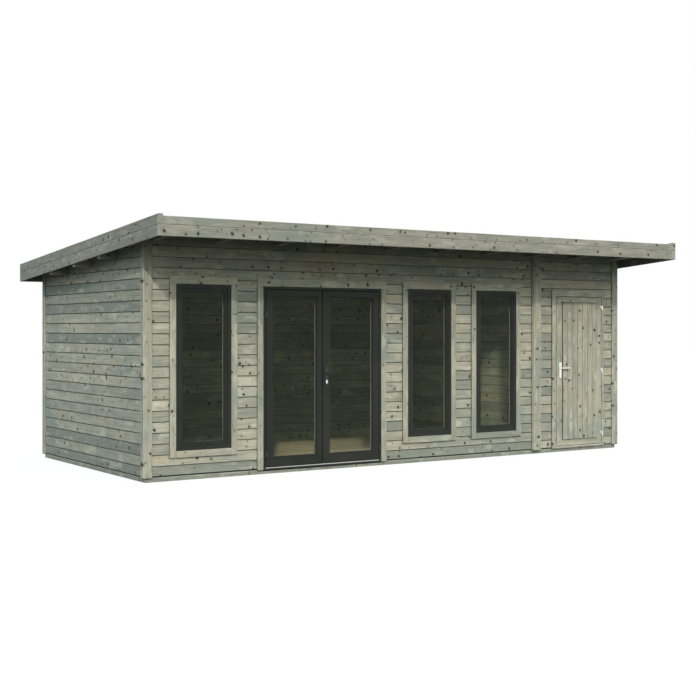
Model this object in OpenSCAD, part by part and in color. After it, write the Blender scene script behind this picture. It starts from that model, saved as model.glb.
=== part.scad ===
// Mono-pitch garden house: a glazed room with a double door and tall windows,
// and a narrow store with a boarded door behind a partition. Units are millimetres.
// X runs along the front, Y from front to back, Z up. The origin is on the ground
// under the middle of the roof.

/* [Walls] */
// Length of the front, outer face to outer face of the corner posts
wall_w = 6630; // [6200:10:7200]
// Depth of the house, outer face to outer face of the corner posts
wall_depth = 2950; // [2500:10:3600]
// Thickness of the plank walls
wall_t = 44; // [28:1:70]
// How far the wall faces lie behind the faces of the corner posts
wall_recess = 20; // [14:1:30]
// Width of a corner post on the front and the back
post_w = 95; // [85:1:140]
// Depth of a corner post on the sides
post_side = 74; // [70:1:140]
// Width of the joint posts
joint_post_w = 114; // [70:1:150]
// How far the joint posts stand in front of the wall faces
joint_post_proud = 48; // [24:1:60]

/* [Layout] */
// Plain wall from the left corner post to the first window, in parts of all the front's plain wall
first_gap_share = 192; // [60:1:400]
// Plain wall from the first window to the double door
second_gap_share = 241; // [60:1:400]
// Plain wall from the double door to the second window
third_gap_share = 232; // [60:1:400]
// Plain wall from the second to the third window
fourth_gap_share = 236; // [60:1:400]
// Plain wall from the third window to the joint post
fifth_gap_share = 194; // [60:1:400]
// Plain wall from the joint post to the store door
sixth_gap_share = 210; // [60:1:400]
// Plain wall from the store door to the right corner post
seventh_gap_share = 153; // [60:1:400]

/* [Base] */
// Height of the ground beams
sill_h = 45; // [40:1:90]
// Width of the ground beams
sill_w = 70; // [45:1:100]
// How far the ground beams lie inside the faces of the posts
sill_inset = 27; // [10:1:60]
// Width of the floor joists
joist_w = 45; // [36:1:70]
// Number of floor joists between the end beams
joist_count = 9; // [5:1:14]
// Thickness of the floor boards
floor_t = 20; // [16:1:28]

/* [Roof] */
// Roof overhang in front of the posts
front_overhang = 790; // [500:10:1000]
// Roof overhang behind the posts
back_overhang = 220; // [120:10:400]
// Roof overhang past the posts at each side
side_overhang = 200; // [120:10:400]
// Height of the rafters' underside above the ground, at the front wall
eaves_h = 2417; // [2300:1:2700]
// Slope of the roof, down to the back
roof_pitch = 4.3; // [2:0.1:5]
// Height of the rafters
rafter_h = 95; // [70:1:120]
// Width of the rafters
rafter_w = 45; // [36:1:70]
// Number of rafter bays over the main room
main_rafter_bays = 7; // [5:1:10]
// Number of rafter bays over the store
store_rafter_bays = 2; // [1:1:4]
// Gap between the partition and the rafter beside it
partition_clear = 80; // [40:1:140]
// Height of the short blocks that carry the side fascias
lookout_h = 70; // [45:1:90]
// Number of these blocks at each side
lookout_count = 4; // [3:1:6]
// Thickness of the roof boards
deck_t = 18; // [16:1:28]
// Thickness of the roofing felt
felt_t = 4; // [2:0.5:8]
// Thickness of the fascia boards
fascia_t = 20; // [16:1:30]
// Height of the upper fascia boards
upper_fascia_h = 80; // [60:1:100]
// Height of the lower fascia boards
lower_fascia_h = 108; // [80:1:130]
// Shadow gap between the fascia boards
fascia_gap = 2; // [1:0.5:4]
// Width of the laths on the side edges of the roof
lath_w = 50; // [30:1:80]
// Height of these laths
lath_h = 20; // [12:1:30]

/* [Windows] */
// Width of a window
window_w = 630; // [500:1:660]
// Depth of the windows' upper edge below the rafters
window_head_drop = 424; // [380:1:700]
// Height of the windows' lower edge above the ground
window_sill_z = 300; // [220:1:900]
// Width of the window frames
window_frame_w = 45; // [35:1:60]
// Width of the sashes in them
sash_w = 35; // [25:1:50]
// How far the sashes lie behind the frames
sash_setback = 6; // [3:1:12]
// Thickness of the double glazing
pane_t = 24; // [14:1:30]

/* [Trim] */
// Width of the upright trim boards
trim_w = 70; // [45:1:90]
// Height of the trim boards over doors and windows
head_trim_h = 84; // [60:1:110]
// Gap between boards that meet
board_gap = 1; // [0.5:0.1:2]
// Gap between the layers of the sloping roof
seat_gap = 0.05; // [0.02:0.01:0.2]
// How far window and glazed door frames lie behind the trim boards
frame_setback = 4; // [0:1:10]

/* [Double door] */
// Width of the double door with its frame
double_door_w = 1522; // [1300:1:1600]
// Depth of the door frame's upper edge below the rafters
double_door_head_drop = 431; // [380:1:560]
// Visible width of the door frame
door_frame_w = 28; // [20:1:50]
// Gap between the leaves and their frame
leaf_gap = 6; // [5:0.5:8]
// Gap between the two leaves
meeting_gap = 9; // [8:0.5:12]
// How far the meeting line lies left of the middle
meeting_offset = 24; // [0:1:40]
// Thickness of the glazed leaves
leaf_t = 56; // [44:1:60]
// Width of the stiles on the hinge side
leaf_stile_w = 89; // [70:1:110]
// Width of the left leaf's meeting stile
left_meeting_stile_w = 72; // [60:1:110]
// Width of the right leaf's meeting stile
right_meeting_stile_w = 96; // [80:1:120]
// Height of the top rails
leaf_top_rail_h = 76; // [60:1:120]
// Height of the bottom rails
leaf_bottom_rail_h = 101; // [80:1:200]
// Width of the glazing beads
bead_w = 14; // [8:1:24]
// How far the beads lie behind the faces of the leaves
bead_setback = 7; // [3:1:12]
// Height of the thresholds above the ground
threshold_z = 68; // [66:1:90]

/* [Store door] */
// Width of the store door's clear opening
store_door_w = 786; // [700:1:800]
// Depth of the opening's upper edge below the rafters
store_door_head_drop = 473; // [380:1:560]
// Thickness of the door lining
lining_t = 25; // [18:1:40]
// Gap between the store leaf and its lining
store_leaf_gap = 8; // [6:0.5:10]
// Thickness of the store leaf
store_leaf_t = 44; // [36:1:50]
// Width of its stiles
store_stile_w = 90; // [70:1:110]
// Height of its top rail
store_top_rail_h = 68; // [50:1:120]
// Height of its bottom rail
store_bottom_rail_h = 78; // [70:1:140]
// Thickness of its boarded panel
store_panel_t = 24; // [20:1:36]
// How far the panel stands before the stiles
store_panel_proud = 14; // [2:1:18]
// Width of the trim board on the hinge side
store_hinge_trim_w = 40; // [30:1:60]

/* [Hinges and handles] */
// Radius of the hinge knuckles
knuckle_r = 8; // [6:0.5:10]
// Length of one knuckle
knuckle_len = 28; // [20:1:60]
// Radius of the hinge pins
hinge_pin_r = 4.5; // [3:0.5:5]
// Clearance of the pins in their knuckles
pin_clearance = 0.05; // [0.02:0.01:0.1]
// Thickness of the hinge plates
hinge_plate_t = 3; // [2:0.5:4]
// Width of the hinge plates from the axis
hinge_plate_w = 20; // [14:1:36]
// Height of the levers above the ground
lever_z = 1050; // [900:5:1150]
// Length of a lever from its axis
lever_len = 128; // [90:1:150]
// Radius of a lever
lever_r = 9; // [7:0.5:11]
// Distance of a lever from the door's face
lever_reach = 50; // [42:1:65]
// Width of a handle plate
handle_plate_w = 38; // [30:1:50]
// Height of a handle plate
handle_plate_h = 196; // [150:1:260]
// Thickness of a handle plate
handle_plate_t = 8; // [6:0.5:12]

/* [Hidden] */
$fn = 48;
overrun = 5;
roof_depth = front_overhang + wall_depth + back_overhang;
roof_front_y = -roof_depth / 2;
roof_back_y = roof_depth / 2;
under_deck = felt_t + deck_t + seat_gap;
roof_front_top = eaves_h + rafter_h + under_deck + (front_overhang + wall_recess) * tan(roof_pitch);
fascia_h = upper_fascia_h + fascia_gap + lower_fascia_h;
wall_inner = wall_recess + wall_t;
floor_z = sill_h + floor_t;
window_head_z = eaves_h - window_head_drop;
double_door_head_z = eaves_h - double_door_head_drop;
store_door_head_z = eaves_h - store_door_head_drop;
window_span = window_w + 2 * trim_w;
plain_wall = wall_w - 2 * post_w - 3 * window_span - double_door_w - 2 * trim_w
             - joint_post_w - store_door_w - trim_w - store_hinge_trim_w;
all_gaps_share = first_gap_share + second_gap_share + third_gap_share + fourth_gap_share
                 + fifth_gap_share + sixth_gap_share + seventh_gap_share;
gap_unit = plain_wall / all_gaps_share;
window_1_x = post_w + first_gap_share * gap_unit + trim_w;
double_door_x = window_1_x + window_span + second_gap_share * gap_unit;
double_door_end_x = double_door_x + double_door_w;
window_2_x = double_door_end_x + 2 * trim_w + third_gap_share * gap_unit;
window_3_x = window_2_x + window_span + fourth_gap_share * gap_unit;
joint_post_x = window_3_x + window_span - trim_w + fifth_gap_share * gap_unit;
store_door_x = joint_post_x + joint_post_w + sixth_gap_share * gap_unit + trim_w;
joint_mid_x = joint_post_x + joint_post_w / 2;
partition_x = joint_mid_x - wall_t / 2;
rafter_first_x = post_w + rafter_w / 2;
rafter_last_x = wall_w - rafter_first_x;
rafter_beside_x = partition_x - partition_clear - rafter_w / 2;
main_rafter_step = (rafter_beside_x - rafter_first_x) / main_rafter_bays;
store_rafter_step = (rafter_last_x - rafter_beside_x) / store_rafter_bays;
rafter_xs = concat([for (i = [0:main_rafter_bays]) rafter_first_x + i * main_rafter_step],
                   [for (i = [1:store_rafter_bays]) rafter_beside_x + i * store_rafter_step]);
lookout_first_share = 0.05;
lookout_last_share = 0.9;
sash_face = frame_setback + sash_setback;
pane_inset = window_frame_w + sash_w;
pane_seat = (sash_face + wall_inner - pane_t) / 2;
window_xs = [window_1_x, window_2_x, window_3_x];
meeting_x = double_door_x + double_door_w / 2 - meeting_offset;
left_leaf_x = double_door_x + door_frame_w + leaf_gap;
left_leaf_end_x = meeting_x - meeting_gap / 2;
right_leaf_x = meeting_x + meeting_gap / 2;
right_leaf_end_x = double_door_end_x - door_frame_w - leaf_gap;
leaf_z = threshold_z + leaf_gap;
leaf_top_z = double_door_head_z - door_frame_w - leaf_gap;
leaf_pane_seat = frame_setback + (leaf_t - pane_t) / 2;
store_door_end_x = store_door_x + store_door_w;
store_leaf_x = store_door_x + store_leaf_gap;
store_leaf_end_x = store_door_end_x - store_leaf_gap;
store_leaf_z = threshold_z + leaf_gap;
store_leaf_top_z = store_door_head_z - leaf_gap;
hinge_clear = 1;
hinge_stand = knuckle_r + hinge_clear;
knuckle_gap = 1;
pin_len_share = 0.75;
pin_len = pin_len_share * knuckle_len;
hinge_end_share = 0.07;
leaf_hinge_drop = hinge_end_share * (leaf_top_z - leaf_z);
left_hinge_x = left_leaf_x - leaf_gap / 2;
right_hinge_x = right_leaf_end_x + leaf_gap / 2;
store_hinge_x = store_leaf_end_x + store_leaf_gap / 2;
leaf_hinge_zs = [leaf_z + leaf_hinge_drop, leaf_top_z - 2 * leaf_hinge_drop];
store_hinge_zs = [store_leaf_z + leaf_hinge_drop, (store_leaf_z + store_leaf_top_z) / 2,
                  store_leaf_top_z - leaf_hinge_drop];
double_lever_x = right_leaf_x + right_meeting_stile_w / 2;
store_lever_x = store_leaf_x + store_stile_w / 2 + lever_r;
lever_boss_r = lever_r - hinge_clear;
lock_drop_share = 0.454;
lock_drop = lock_drop_share * handle_plate_h;
lock_r = lever_boss_r;
lock_proud = hinge_plate_t;
plate_below_share = 0.64;

timber = "#9a9b8a";
anthracite = "#3a3d3f";
steel = "#c9cbcc";
pane_tint = "#56605f88";

// Places on the plan: s along the front from the left end, t inward from the posts' front faces
function fx(s) = s - wall_w / 2;
function fy(t) = roof_front_y + front_overhang + t;

// Heights that follow the slope of the roof, at a place y
function roof_z(y) = roof_front_top - (y - roof_front_y) * tan(roof_pitch);
function deck_under(y) = roof_z(y) - under_deck;

// A square-edged board between two corners of the plan and two heights
module board(s0, s1, t0, t1, z0, z1) {
    translate([fx(s0), fy(t0), z0])
        cube([s1 - s0, t1 - t0, z1 - z0]);
}

// A piece along X whose section in Y and Z is given by its points
module along_x(s0, s1, section) {
    translate([fx(s0), 0, 0])
        rotate([90, 0, 90])
            linear_extrude(s1 - s0)
                polygon(section);
}

// A layer that lies parallel to the roof, between two drops below its surface
module sloped_layer(s0, s1, y0, y1, top_drop, under_drop) {
    along_x(s0, s1, [[y0, roof_z(y0) - under_drop], [y1, roof_z(y1) - under_drop],
                     [y1, roof_z(y1) - top_drop], [y0, roof_z(y0) - top_drop]]);
}

// A wall that stands on the beams at z0 and meets the roof boards
module wall_to_roof(s0, s1, t0, t1, z0) {
    difference() {
        along_x(s0, s1, [[fy(t0), z0], [fy(t1), z0],
                         [fy(t1), deck_under(fy(t1))], [fy(t0), deck_under(fy(t0))]]);
        rafter_shapes(overrun);
    }
}

// A front wall panel
module front_panel(s0, s1, z0) {
    wall_to_roof(s0, s1, wall_recess, wall_inner, z0);
}

// The hole that a window leaves in its wall
module window_hole(s) {
    board(s, s + window_w, wall_recess - overrun, wall_inner + overrun, window_sill_z, window_head_z);
}

// Beams

module sill_between(s0, s1, t0, t1) {
    board(s0, s1, t0, t1, 0, sill_h);
}

module long_sills() {
    color(timber)
        for (t = [sill_inset, wall_depth - sill_inset - sill_w])
            sill_between(sill_inset, wall_w - sill_inset, t, t + sill_w);
}

module cross_sills() {
    inner_t = sill_inset + sill_w;
    step = (wall_w - 2 * inner_t) / (joist_count + 1);
    color(timber) {
        for (s = [sill_inset, wall_w - inner_t])
            sill_between(s, s + sill_w, inner_t, wall_depth - inner_t);
        for (i = [1:joist_count])
            sill_between(inner_t + i * step - joist_w / 2, inner_t + i * step + joist_w / 2,
                         inner_t, wall_depth - inner_t);
    }
}

// Floors, cut out round the corner posts

module floor_between(s0, s1) {
    difference() {
        board(s0, s1, wall_inner, wall_depth - wall_inner, sill_h, floor_z);
        post_shapes();
    }
}

module main_floor() {
    color(timber)
        floor_between(wall_inner, partition_x);
}

module store_floor() {
    color(timber)
        floor_between(partition_x + wall_t, wall_w - wall_inner);
}

// Walls

module side_wall(s0) {
    wall_to_roof(s0, s0 + wall_t, post_side, wall_depth - post_side, sill_h);
}

module left_wall() {
    color(timber)
        side_wall(wall_recess);
}

module right_wall() {
    color(timber)
        side_wall(wall_w - wall_inner);
}

module back_wall() {
    color(timber)
        wall_to_roof(post_w, wall_w - post_w, wall_depth - wall_inner, wall_depth - wall_recess, sill_h);
}

module partition_wall() {
    color(timber)
        wall_to_roof(partition_x, partition_x + wall_t, wall_inner, wall_depth - wall_inner, sill_h);
}

module front_wall_left() {
    color(timber)
        difference() {
            front_panel(post_w, double_door_x, sill_h);
            window_hole(window_1_x);
        }
}

module front_wall_right() {
    color(timber)
        difference() {
            front_panel(double_door_end_x, joint_mid_x, sill_h);
            window_hole(window_2_x);
            window_hole(window_3_x);
        }
}

module front_wall_over_door() {
    color(timber)
        front_panel(double_door_x, double_door_end_x, double_door_head_z);
}

module store_wall_left() {
    color(timber)
        front_panel(joint_mid_x, store_door_x - lining_t, sill_h);
}

module store_wall_right() {
    color(timber)
        front_panel(store_door_end_x + lining_t, wall_w - post_w, sill_h);
}

module store_wall_over_door() {
    color(timber)
        front_panel(store_door_x - lining_t, store_door_end_x + lining_t, store_door_head_z + lining_t);
}

// Posts

module post_shapes() {
    for (s = [0, wall_w - post_w], t = [0, wall_depth - post_side])
        wall_to_roof(s, s + post_w, t, t + post_side, sill_h);
}

module corner_posts() {
    color(timber)
        post_shapes();
}

module joint_posts() {
    color(timber) {
        wall_to_roof(joint_post_x, joint_post_x + joint_post_w,
                     wall_recess - joint_post_proud, wall_recess, sill_h);
        wall_to_roof(joint_post_x, joint_post_x + joint_post_w,
                     wall_depth - wall_recess, wall_depth - wall_recess + joint_post_proud, sill_h);
    }
}

// Windows: a ring of two jambs with a head and a sill between them, for the frame and its sash

module window_ring(s, inset, member_w, t0) {
    low = window_sill_z + inset;
    high = window_head_z - inset;
    left = s + inset;
    right = s + window_w - inset;
    for (x = [left, right - member_w])
        board(x, x + member_w, t0, wall_inner, low, high);
    for (z = [low, high - member_w])
        board(left + member_w + board_gap, right - member_w - board_gap, t0, wall_inner, z, z + member_w);
}

module window_frames() {
    color(anthracite)
        for (s = window_xs)
            window_ring(s, 0, window_frame_w, frame_setback);
}

module window_sashes() {
    color(anthracite)
        for (s = window_xs)
            window_ring(s, window_frame_w, sash_w, sash_face);
}

module window_panes() {
    color(pane_tint)
        for (s = window_xs)
            board(s + pane_inset, s + window_w - pane_inset, pane_seat, pane_seat + pane_t,
                  window_sill_z + pane_inset, window_head_z - pane_inset);
}

// Trim boards round an opening: uprights from z0 under a head board

module trim_sides(s0, s1, z0, z1, right_w) {
    board(s0 - trim_w, s0, 0, wall_recess, z0, z1);
    board(s1, s1 + right_w, 0, wall_recess, z0, z1);
}

module trim_head(s0, s1, z1, right_w) {
    board(s0 - trim_w, s1 + right_w, 0, wall_recess, z1 + board_gap, z1 + head_trim_h);
}

module window_trims() {
    color(timber)
        for (s = window_xs) {
            trim_sides(s, s + window_w, window_sill_z - trim_w, window_head_z, trim_w);
            trim_head(s, s + window_w, window_head_z, trim_w);
            board(s + board_gap, s + window_w - board_gap, 0, wall_recess,
                  window_sill_z - trim_w, window_sill_z);
        }
}

// Double door

module double_door_frame() {
    color(anthracite) {
        for (s = [double_door_x, double_door_end_x - door_frame_w])
            board(s, s + door_frame_w, frame_setback, wall_inner, sill_h, double_door_head_z);
        board(double_door_x + door_frame_w + board_gap, double_door_end_x - door_frame_w - board_gap,
              frame_setback, wall_inner, double_door_head_z - door_frame_w, double_door_head_z);
    }
}

module double_door_trim() {
    color(timber) {
        trim_sides(double_door_x, double_door_end_x, sill_h, double_door_head_z, trim_w);
        trim_head(double_door_x, double_door_end_x, double_door_head_z, trim_w);
    }
}

module thresholds() {
    color(steel) {
        board(double_door_x + door_frame_w, double_door_end_x - door_frame_w,
              frame_setback, wall_inner, sill_h, threshold_z);
        board(store_door_x, store_door_end_x, 0, wall_inner, sill_h, threshold_z);
    }
}

// A leaf with a hole for its pane or panel
module leaf_frame(s0, s1, t0, thick, z0, z1, left_w, right_w, bottom_h, top_h) {
    difference() {
        board(s0, s1, t0, t0 + thick, z0, z1);
        board(s0 + left_w, s1 - right_w, t0 - overrun, t0 + thick + overrun, z0 + bottom_h, z1 - top_h);
    }
}

// A glazed leaf, with steps on both faces for the beads that hold the pane
module glazed_leaf(s0, s1, left_w, right_w) {
    back_t = frame_setback + leaf_t;
    difference() {
        leaf_frame(s0, s1, frame_setback, leaf_t, leaf_z, leaf_top_z, left_w, right_w,
                   leaf_bottom_rail_h, leaf_top_rail_h);
        for (t = [frame_setback - overrun, back_t - bead_setback])
            board(s0 + left_w - bead_w, s1 - right_w + bead_w, t, t + bead_setback + overrun,
                  leaf_z + leaf_bottom_rail_h - bead_w, leaf_top_z - leaf_top_rail_h + bead_w);
    }
}

module leaf_pane(s0, s1, left_w, right_w) {
    board(s0 + left_w, s1 - right_w, leaf_pane_seat, leaf_pane_seat + pane_t,
          leaf_z + leaf_bottom_rail_h, leaf_top_z - leaf_top_rail_h);
}

module left_leaf() {
    color(anthracite)
        glazed_leaf(left_leaf_x, left_leaf_end_x, leaf_stile_w, left_meeting_stile_w);
}

module left_leaf_glass() {
    color(pane_tint)
        leaf_pane(left_leaf_x, left_leaf_end_x, leaf_stile_w, left_meeting_stile_w);
}

module right_leaf() {
    color(anthracite)
        glazed_leaf(right_leaf_x, right_leaf_end_x, right_meeting_stile_w, leaf_stile_w);
}

module right_leaf_glass() {
    color(pane_tint)
        leaf_pane(right_leaf_x, right_leaf_end_x, right_meeting_stile_w, leaf_stile_w);
}

// Lift-off hinges: a pin stands on the lower knuckle, and the upper knuckle turns on it.
// The axis is at s and t, and the plate lies on a face at plate_t, towards side 1 or -1.

module hinge_plate(s, plate_t, side, z0) {
    board(side > 0 ? s : s - hinge_plate_w, side > 0 ? s + hinge_plate_w : s,
          plate_t - hinge_plate_t, plate_t, z0, z0 + knuckle_len);
}

module frame_knuckle(s, t, plate_t, side, z) {
    z0 = z - knuckle_gap / 2 - knuckle_len;
    translate([fx(s), fy(t), z0]) {
        cylinder(r = knuckle_r, h = knuckle_len);
        cylinder(r = hinge_pin_r, h = knuckle_len + knuckle_gap + pin_len);
    }
    hinge_plate(s, plate_t, side, z0);
}

module leaf_knuckle(s, t, plate_t, side, z) {
    z0 = z + knuckle_gap / 2;
    difference() {
        union() {
            translate([fx(s), fy(t), z0])
                cylinder(r = knuckle_r, h = knuckle_len);
            hinge_plate(s, plate_t, side, z0);
        }
        translate([fx(s), fy(t), z0 - overrun])
            cylinder(r = hinge_pin_r + pin_clearance, h = pin_len + 2 * overrun);
    }
}

module double_door_frame_hinges() {
    color(anthracite)
        for (z = leaf_hinge_zs) {
            frame_knuckle(left_hinge_x, frame_setback - hinge_stand, frame_setback, -1, z);
            frame_knuckle(right_hinge_x, frame_setback - hinge_stand, frame_setback, 1, z);
        }
}

module left_leaf_hinges() {
    color(anthracite)
        for (z = leaf_hinge_zs)
            leaf_knuckle(left_hinge_x, frame_setback - hinge_stand, frame_setback, 1, z);
}

module right_leaf_hinges() {
    color(anthracite)
        for (z = leaf_hinge_zs)
            leaf_knuckle(right_hinge_x, frame_setback - hinge_stand, frame_setback, -1, z);
}

module store_frame_hinges() {
    color(steel)
        for (z = store_hinge_zs)
            frame_knuckle(store_hinge_x, -hinge_stand, 0, 1, z);
}

module store_leaf_hinges() {
    color(steel)
        for (z = store_hinge_zs)
            leaf_knuckle(store_hinge_x, -hinge_stand, 0, -1, z);
}

// Handles: a long plate with the lever's socket and a lock cylinder, on both faces of a leaf

module plate_at(s, t0, out) {
    low = lever_z - plate_below_share * handle_plate_h;
    t1 = t0 + out * handle_plate_t;
    difference() {
        board(s - handle_plate_w / 2, s + handle_plate_w / 2, min(t0, t1), max(t0, t1),
              low, low + handle_plate_h);
        translate([fx(s), fy(min(t0, t1) - overrun), lever_z])
            rotate([-90, 0, 0])
                cylinder(r = lever_boss_r + pin_clearance, h = handle_plate_t + 2 * overrun);
    }
    translate([fx(s), fy(t0), lever_z - lock_drop])
        rotate([out * -90, 0, 0])
            cylinder(r = lock_r, h = handle_plate_t + lock_proud);
}

module handle_plates(s, t_front, t_back) {
    plate_at(s, t_front, -1);
    plate_at(s, t_back, 1);
}

// A round bar from the socket out to its elbow, and then along the door
module lever_at(s, t0, out) {
    translate([fx(s), fy(t0 + out * pin_clearance), lever_z])
        rotate([out * -90, 0, 0])
            cylinder(r = lever_boss_r, h = lever_reach);
    translate([fx(s), fy(t0 + out * lever_reach), lever_z]) {
        sphere(r = lever_r);
        rotate([0, 90, 0])
            cylinder(r = lever_r, h = lever_len - lever_r);
        translate([lever_len - lever_r, 0, 0])
            sphere(r = lever_r);
    }
}

module lever_pair(s, t_front, t_back) {
    lever_at(s, t_front, -1);
    lever_at(s, t_back, 1);
}

module double_door_handle() {
    color(anthracite)
        handle_plates(double_lever_x, frame_setback, frame_setback + leaf_t);
}

module double_door_lever() {
    color(anthracite)
        lever_pair(double_lever_x, frame_setback, frame_setback + leaf_t);
}

module store_door_handle() {
    color(steel)
        handle_plates(store_lever_x, 0, store_leaf_t);
}

module store_door_lever() {
    color(steel)
        lever_pair(store_lever_x, 0, store_leaf_t);
}

// Store door

module store_door_lining() {
    color(timber) {
        for (s = [store_door_x - lining_t, store_door_end_x])
            board(s, s + lining_t, wall_recess, wall_inner, sill_h, store_door_head_z + lining_t);
        board(store_door_x + board_gap, store_door_end_x - board_gap, wall_recess, wall_inner,
              store_door_head_z, store_door_head_z + lining_t);
    }
}

module store_door_trim() {
    color(timber) {
        trim_sides(store_door_x, store_door_end_x, sill_h, store_door_head_z, store_hinge_trim_w);
        trim_head(store_door_x, store_door_end_x, store_door_head_z, store_hinge_trim_w);
    }
}

module store_leaf() {
    color(timber)
        leaf_frame(store_leaf_x, store_leaf_end_x, 0, store_leaf_t, store_leaf_z, store_leaf_top_z,
                   store_stile_w, store_stile_w, store_bottom_rail_h, store_top_rail_h);
}

module store_leaf_panel() {
    color(timber)
        board(store_leaf_x + store_stile_w, store_leaf_end_x - store_stile_w,
              -store_panel_proud, store_panel_t - store_panel_proud,
              store_leaf_z + store_bottom_rail_h, store_leaf_top_z - store_top_rail_h);
}

// Roof

// The rafters, raised past the roof boards' underside where they cut the walls
module rafter_shapes(rise) {
    for (s = rafter_xs)
        sloped_layer(s - rafter_w / 2, s + rafter_w / 2, roof_front_y + fascia_t,
                     roof_back_y - fascia_t, under_deck - rise, under_deck + rafter_h);
}

module rafters() {
    color(timber)
        rafter_shapes(0);
}

// Short blocks from the side walls out to the side fascias
module lookouts() {
    step_share = (lookout_last_share - lookout_first_share) / (lookout_count - 1);
    color(timber)
        for (i = [0:lookout_count - 1], side = [0, 1])
            let (y = fy((lookout_first_share + i * step_share) * wall_depth))
                sloped_layer(side == 0 ? fascia_t - side_overhang : wall_w - wall_recess,
                             side == 0 ? wall_recess : wall_w + side_overhang - fascia_t,
                             y, y + rafter_w, under_deck, under_deck + lookout_h);
}

module roof_layer(top_drop, under_drop) {
    sloped_layer(fascia_t - side_overhang, wall_w + side_overhang - fascia_t,
                 roof_front_y + fascia_t, roof_back_y - fascia_t, top_drop, under_drop);
}

module roof_deck() {
    color(timber)
        roof_layer(felt_t + seat_gap, felt_t + deck_t);
}

module roof_felt() {
    color("#4b4d4c")
        roof_layer(0, felt_t);
}

// One course of fascia boards: long ones at the front and back, and short ones between them
module fascia_course(top_drop, under_drop) {
    for (y = [roof_front_y, roof_back_y - fascia_t])
        sloped_layer(-side_overhang, wall_w + side_overhang, y, y + fascia_t, top_drop, under_drop);
    for (s = [-side_overhang, wall_w + side_overhang - fascia_t])
        sloped_layer(s, s + fascia_t, roof_front_y + fascia_t + board_gap,
                     roof_back_y - fascia_t - board_gap, top_drop, under_drop);
}

module upper_fascia() {
    color(timber)
        fascia_course(0, upper_fascia_h);
}

module lower_fascia() {
    color(timber)
        fascia_course(upper_fascia_h + fascia_gap, fascia_h);
}

module edge_laths() {
    color(timber)
        for (s = [-side_overhang, wall_w + side_overhang - lath_w])
            sloped_layer(s, s + lath_w, roof_front_y, roof_back_y, -lath_h, -seat_gap);
}

long_sills();
cross_sills();
main_floor();
store_floor();
left_wall();
right_wall();
back_wall();
partition_wall();
front_wall_left();
front_wall_right();
front_wall_over_door();
store_wall_left();
store_wall_right();
store_wall_over_door();
corner_posts();
joint_posts();
window_frames();
window_sashes();
window_panes();
window_trims();
double_door_frame();
double_door_trim();
thresholds();
double_door_frame_hinges();
left_leaf();
left_leaf_glass();
left_leaf_hinges();
right_leaf();
right_leaf_glass();
right_leaf_hinges();
double_door_handle();
double_door_lever();
store_door_lining();
store_door_trim();
store_frame_hinges();
store_leaf();
store_leaf_panel();
store_leaf_hinges();
store_door_handle();
store_door_lever();
rafters();
lookouts();
roof_deck();
roof_felt();
upper_fascia();
lower_fascia();
edge_laths();
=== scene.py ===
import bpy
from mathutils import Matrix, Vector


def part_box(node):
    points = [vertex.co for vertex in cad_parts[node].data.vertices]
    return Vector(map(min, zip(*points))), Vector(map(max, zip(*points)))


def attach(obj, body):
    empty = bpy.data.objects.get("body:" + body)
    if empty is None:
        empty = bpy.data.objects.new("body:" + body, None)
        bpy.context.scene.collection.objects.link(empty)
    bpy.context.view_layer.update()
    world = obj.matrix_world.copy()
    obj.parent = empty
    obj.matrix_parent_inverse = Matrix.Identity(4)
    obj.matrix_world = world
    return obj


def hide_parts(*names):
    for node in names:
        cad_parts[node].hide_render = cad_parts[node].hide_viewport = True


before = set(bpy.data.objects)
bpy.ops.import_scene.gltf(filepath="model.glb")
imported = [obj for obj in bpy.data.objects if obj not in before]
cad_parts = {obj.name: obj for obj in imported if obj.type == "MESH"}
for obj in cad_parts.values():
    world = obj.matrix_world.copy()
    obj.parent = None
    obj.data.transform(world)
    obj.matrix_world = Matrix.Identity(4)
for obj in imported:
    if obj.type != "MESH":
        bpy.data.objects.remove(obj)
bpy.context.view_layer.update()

import math
import random

import bmesh
import bpy
from mathutils import Matrix, Vector

bpy.context.scene.view_settings.view_transform = "Standard"

# Ground beams and joists
# Planed softwood beams lie flat on the ground under all four walls, with joists between
# the long ones. They are cut square, eased on their edges and nailed through the ends.

dice = random.Random(4)


def add_block(piece, low, high):
    """Adds a plain block between two corners, and gives its vertices."""
    low, high = Vector(low), Vector(high)
    place = Matrix.LocRotScale((low + high) / 2, None, high - low)
    return bmesh.ops.create_cube(piece, size=1, matrix=place)["verts"]


def ease_edges(piece, edges, offset, segments, clamp=False):
    """Takes edges off to a chamfer or a round, and gives the new faces."""
    return bmesh.ops.bevel(piece, geom=list(edges), offset=offset, segments=segments, profile=0.5,
                           affect="EDGES", clamp_overlap=clamp, material=-1)["faces"]


def add_to(piece, block):
    """Moves what a scratch bmesh holds into a piece."""
    sheet = bpy.data.meshes.new("sheet")
    block.to_mesh(sheet)
    block.free()
    piece.from_mesh(sheet)
    bpy.data.meshes.remove(sheet)


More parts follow.
